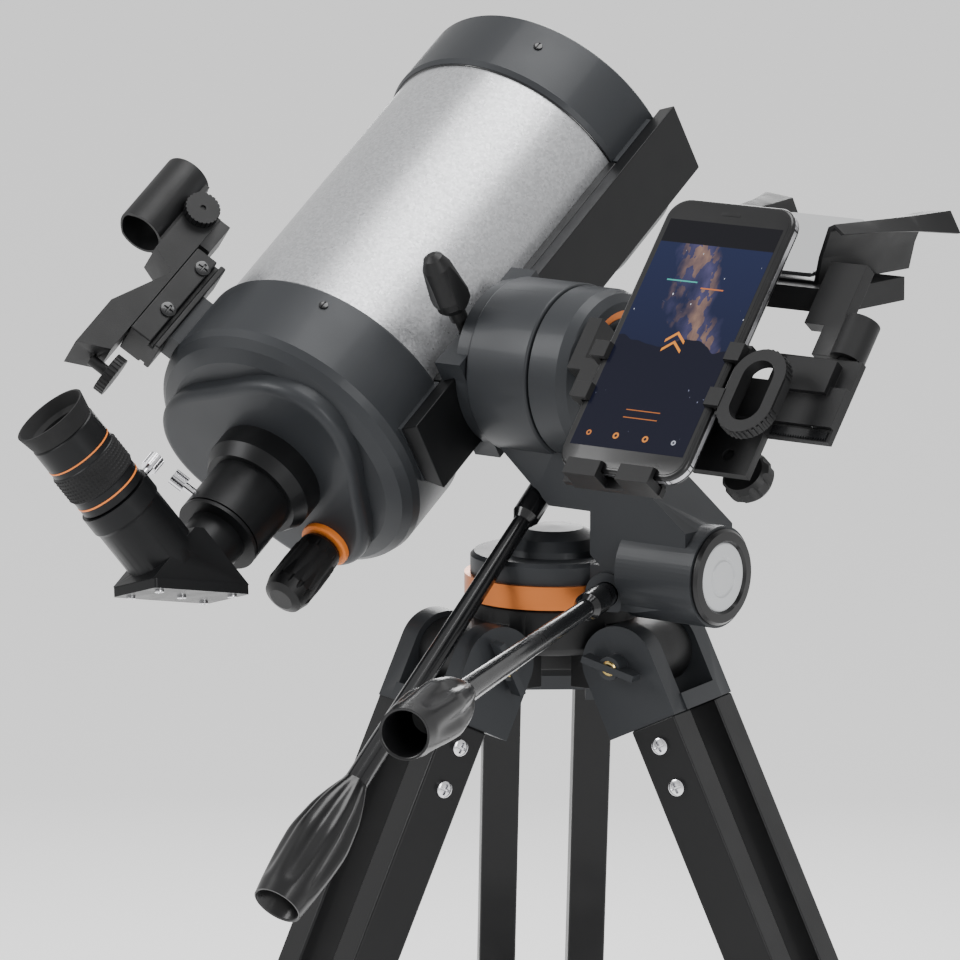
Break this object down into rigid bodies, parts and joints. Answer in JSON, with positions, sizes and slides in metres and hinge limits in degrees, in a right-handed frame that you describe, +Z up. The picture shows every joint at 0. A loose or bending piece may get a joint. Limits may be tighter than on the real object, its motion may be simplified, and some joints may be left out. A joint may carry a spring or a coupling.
{
  "type": "schmidt-cassegrain telescope",
  "caption": "Catadioptric telescope with a silver tube on a single-arm alt-azimuth mount, with slow-motion rods, star diagonal, reflex finder, phone dock and folding tripod.",
  "frame": {"origin": "on the floor under the azimuth axis, midway between the three feet", "axes": "+Z up along the azimuth axis; +X along the altitude axis towards the phone dock; the tube aims towards +Y and up"},
  "size_m": [0.7228, 0.7575, 1.0775],
  "materials": {
    "black_cell": "satin charcoal enamel",
    "silver_tube": "metallic silver enamel",
    "anodised": "black anodised",
    "copper_trim": "metallic copper orange",
    "black_plastic": "fine-grained black moulding",
    "gloss_black": "gloss black",
    "black_steel": "gloss black enamel",
    "steel": "polished",
    "bright_steel": "turned",
    "rubber": "matt",
    "optical_glass": "coated",
    "mirror": "aluminised",
    "phone": "glass-fronted"
  },
  "bodies": {
    "tripod_head": {"tripod_hub": "black_plastic", "azimuth_pivot": "bright_steel"},
    "azimuth_base": {"azimuth_housing": "black_cell", "arm_casting": "black_cell", "drum_cover": "black_cell", "trim_rings": "copper_trim"},
    "altitude_head": {"saddle": "black_cell", "altitude_shaft": "bright_steel", "dock_bracket": "black_plastic", "dock_cradle": "black_plastic"},
    "telescope": {"dovetail_bar": "anodised", "optical_tube": "silver_tube", "front_cell": "black_cell", "corrector_plate": "optical_glass", "secondary_mirror": "black_plastic", "rear_cell": "black_cell", "visual_back": "black_cell", "finder_base": "black_plastic", "finder_beam": "black_plastic"},
    "clamp_knob": {"clamp_knob": "black_plastic"},
    "focus_knob": {"focus_knob": "black_plastic"},
    "primary_mirror": {"primary_mirror": "mirror"},
    "visual_back_screw": {"visual_back_screw": "steel"},
    "diagonal": {"diagonal_body": "anodised"},
    "diagonal_screw": {"diagonal_screw": "steel"},
    "eyepiece": {"eyepiece_body": "anodised", "eyecup": "rubber", "eyepiece_lenses": "optical_glass"},
    "finder_knob": {"finder_knob": "black_plastic"},
    "finder_wheel": {"finder_wheel": "black_plastic"},
    "altitude_slow_motion": {"altitude_rod": "black_steel", "altitude_handle": "gloss_black"},
    "azimuth_slow_motion": {"azimuth_rod": "black_steel", "azimuth_handle": "gloss_black"},
    "dock_jaw": {"dock_jaw": "black_plastic"},
    "phone": {"phone": "phone"},
    "dock_knob": {"dock_knob": "black_plastic"},
    "dock_hood": {"dock_hood": "black_plastic"},
    "leg_a": {"leg_bracket_a": "black_plastic", "leg_rails_a": "anodised", "leg_collar_a": "black_plastic"},
    "lower_leg_a": {"leg_lower_a": "anodised", "leg_foot_a": "rubber"},
    "leg_knob_a": {"leg_knob_a": "black_plastic"},
    "spreader_a": {"spreader_arm_a": "black_steel"},
    "leg_b": {"leg_bracket_b": "black_plastic", "leg_rails_b": "anodised", "leg_collar_b": "black_plastic"},
    "lower_leg_b": {"leg_lower_b": "anodised", "leg_foot_b": "rubber"},
    "leg_knob_b": {"leg_knob_b": "black_plastic"},
    "spreader_b": {"spreader_arm_b": "black_steel"},
    "leg_c": {"leg_bracket_c": "black_plastic", "leg_rails_c": "anodised", "leg_collar_c": "black_plastic"},
    "lower_leg_c": {"leg_lower_c": "anodised", "leg_foot_c": "rubber"},
    "leg_knob_c": {"leg_knob_c": "black_plastic"},
    "spreader_c": {"spreader_arm_c": "black_steel"},
    "tray": {"accessory_tray": "black_plastic"}
  },
  "joints": [
    {"name": "azimuth_turn", "type": "hinge", "parent": "tripod_head", "child": "azimuth_base", "pos_m": [0, 0, 0], "axis": [0, 0, 1], "continuous": true},
    {"name": "altitude_tilt", "type": "hinge", "parent": "azimuth_base", "child": "altitude_head", "pos_m": [0, 0, 0.915], "axis": [1, 0, 0], "range_deg": [-33, 38]},
    {"name": "tube_slide", "type": "slide", "parent": "altitude_head", "child": "telescope", "axis": [0, -0.8387, -0.5446], "range_m": [-0.03, 0]},
    {"name": "clamp_knob_turn", "type": "hinge", "parent": "altitude_head", "child": "clamp_knob", "pos_m": [-0.036, -0.0109, 0.90792], "axis": [0, -0.5446, 0.8387], "range_deg": [-360, 0]},
    {"name": "focus_turn", "type": "hinge", "parent": "telescope", "child": "focus_knob", "pos_m": [-0.1035, -0.05716, 0.82124], "axis": [0, -0.8387, -0.5446], "range_deg": [-1440, 1440]},
    {"name": "mirror_shift", "type": "slide", "parent": "telescope", "child": "primary_mirror", "axis": [0, -0.8387, -0.5446], "range_m": [-0.004, 0.004]},
    {"name": "visual_back_screw_turn", "type": "hinge", "parent": "telescope", "child": "visual_back_screw", "pos_m": [-0.13117, -0.12209, 0.84962], "axis": [-0.7071, -0.3851, 0.593], "range_deg": [-720, 0]},
    {"name": "diagonal_turn", "type": "hinge", "parent": "telescope", "child": "diagonal", "pos_m": [-0.1195, -0.1258, 0.8333], "axis": [0, -0.8387, -0.5446], "range_deg": [-90, 90]},
    {"name": "diagonal_screw_turn", "type": "hinge", "parent": "diagonal", "child": "diagonal_screw", "pos_m": [-0.13686, -0.16717, 0.86488], "axis": [0, 0.8387, 0.5446], "range_deg": [-720, 0]},
    {"name": "eyepiece_slide", "type": "slide", "parent": "diagonal", "child": "eyepiece", "axis": [-0.3338, -0.5134, 0.7906], "range_m": [0, 0.045]},
    {"name": "finder_knob_turn", "type": "hinge", "parent": "telescope", "child": "finder_knob", "pos_m": [-0.19056, -0.05252, 0.98485], "axis": [0.7071, -0.3851, 0.593], "range_deg": [-720, 0]},
    {"name": "finder_wheel_turn", "type": "hinge", "parent": "telescope", "child": "finder_wheel", "pos_m": [-0.19092, -0.13283, 0.9139], "axis": [0.7071, 0.3851, -0.593], "range_deg": [-720, 720]},
    {"name": "altitude_rod_turn", "type": "hinge", "parent": "azimuth_base", "child": "altitude_slow_motion", "pos_m": [0, 0.02619, 0.88345], "axis": [0, -0.7694, -0.6388], "range_deg": [-2000, 2300]},
    {"name": "azimuth_rod_turn", "type": "hinge", "parent": "azimuth_base", "child": "azimuth_slow_motion", "pos_m": [0.03905, 0.0125, 0.809], "axis": [0.3044, -0.9511, -0.0523], "continuous": true},
    {"name": "jaw_slide", "type": "slide", "parent": "altitude_head", "child": "dock_jaw", "axis": [1, 0, 0], "range_m": [0, 0.012], "stiffness_N_per_m": 60},
    {"name": "phone_slide", "type": "slide", "parent": "altitude_head", "child": "phone", "axis": [0, 0.6293, 0.7771], "range_m": [0, 0.15]},
    {"name": "dock_knob_turn", "type": "hinge", "parent": "altitude_head", "child": "dock_knob", "pos_m": [0.16, -0.04756, 0.87907], "axis": [0, -0.7771, 0.6293], "range_deg": [-720, 0]},
    {"name": "hood_tilt", "type": "hinge", "parent": "altitude_head", "child": "dock_hood", "pos_m": [0.198, -0.00898, 0.95849], "axis": [0, 0.6293, 0.7771], "range_deg": [-25, 0]},
    {"name": "leg_fold_a", "type": "hinge", "parent": "tripod_head", "child": "leg_a", "pos_m": [0.05219, 0.0092, 0.7715], "axis": [-0.1736, 0.9848, 0], "range_deg": [0, 12]},
    {"name": "leg_extend_a", "type": "slide", "parent": "leg_a", "child": "lower_leg_a", "axis": [0.4162, 0.0734, -0.9063], "range_m": [-0.17, 0.09]},
    {"name": "leg_knob_turn_a", "type": "hinge", "parent": "leg_a", "child": "leg_knob_a", "pos_m": [0.2457, 0.04332, 0.3655], "axis": [-0.1736, 0.9848, 0], "range_deg": [-360, 0]},
    {"name": "spreader_fold_a", "type": "hinge", "parent": "leg_a", "child": "spreader_a", "pos_m": [0.21688, 0.03824, 0.37503], "axis": [-0.1736, 0.9848, 0], "range_deg": [-48, 0]},
    {"name": "leg_fold_b", "type": "hinge", "parent": "tripod_head", "child": "leg_b", "pos_m": [-0.03407, 0.0406, 0.7715], "axis": [-0.766, -0.6428, 0], "range_deg": [0, 12]},
    {"name": "leg_extend_b", "type": "slide", "parent": "leg_b", "child": "lower_leg_b", "axis": [-0.2717, 0.3237, -0.9063], "range_m": [-0.17, 0.09]},
    {"name": "leg_knob_turn_b", "type": "hinge", "parent": "leg_b", "child": "leg_knob_b", "pos_m": [-0.16037, 0.19112, 0.3655], "axis": [-0.766, -0.6428, 0], "range_deg": [-360, 0]},
    {"name": "spreader_fold_b", "type": "hinge", "parent": "leg_b", "child": "spreader_b", "pos_m": [-0.14156, 0.1687, 0.37503], "axis": [-0.766, -0.6428, 0], "range_deg": [-48, 0]},
    {"name": "leg_fold_c", "type": "hinge", "parent": "tripod_head", "child": "leg_c", "pos_m": [-0.01813, -0.0498, 0.7715], "axis": [0.9397, -0.342, 0], "range_deg": [0, 12]},
    {"name": "leg_extend_c", "type": "slide", "parent": "leg_c", "child": "lower_leg_c", "axis": [-0.1445, -0.3971, -0.9063], "range_m": [-0.17, 0.09]},
    {"name": "leg_knob_turn_c", "type": "hinge", "parent": "leg_c", "child": "leg_knob_c", "pos_m": [-0.08533, -0.23445, 0.3655], "axis": [0.9397, -0.342, 0], "range_deg": [-360, 0]},
    {"name": "spreader_fold_c", "type": "hinge", "parent": "leg_c", "child": "spreader_c", "pos_m": [-0.07532, -0.20694, 0.37503], "axis": [0.9397, -0.342, 0], "range_deg": [-48, 0]},
    {"name": "tray_drop", "type": "slide", "parent": "tripod_head", "child": "tray", "axis": [0, 0, 1], "range_m": [-0.1295, 0]}
  ],
  "couplings": [
    {"joint": "focus_turn", "follows": "mirror_shift", "rad_per_m": 6270.6},
    {"joint": "altitude_rod_turn", "follows": "altitude_tilt", "ratio": 60},
    {"joint": "azimuth_rod_turn", "follows": "azimuth_turn", "ratio": 60},
    {"joint": "spreader_fold_a", "follows": "leg_fold_a", "ratio": -3.9123},
    {"joint": "leg_fold_b", "follows": "leg_fold_a", "ratio": 1},
    {"joint": "spreader_fold_b", "follows": "leg_fold_a", "ratio": -3.9123},
    {"joint": "leg_fold_c", "follows": "leg_fold_a", "ratio": 1},
    {"joint": "spreader_fold_c", "follows": "leg_fold_a", "ratio": -3.9123},
    {"joint": "tray_drop", "follows": "leg_fold_a", "m_per_rad": -0.60859}
  ]
}
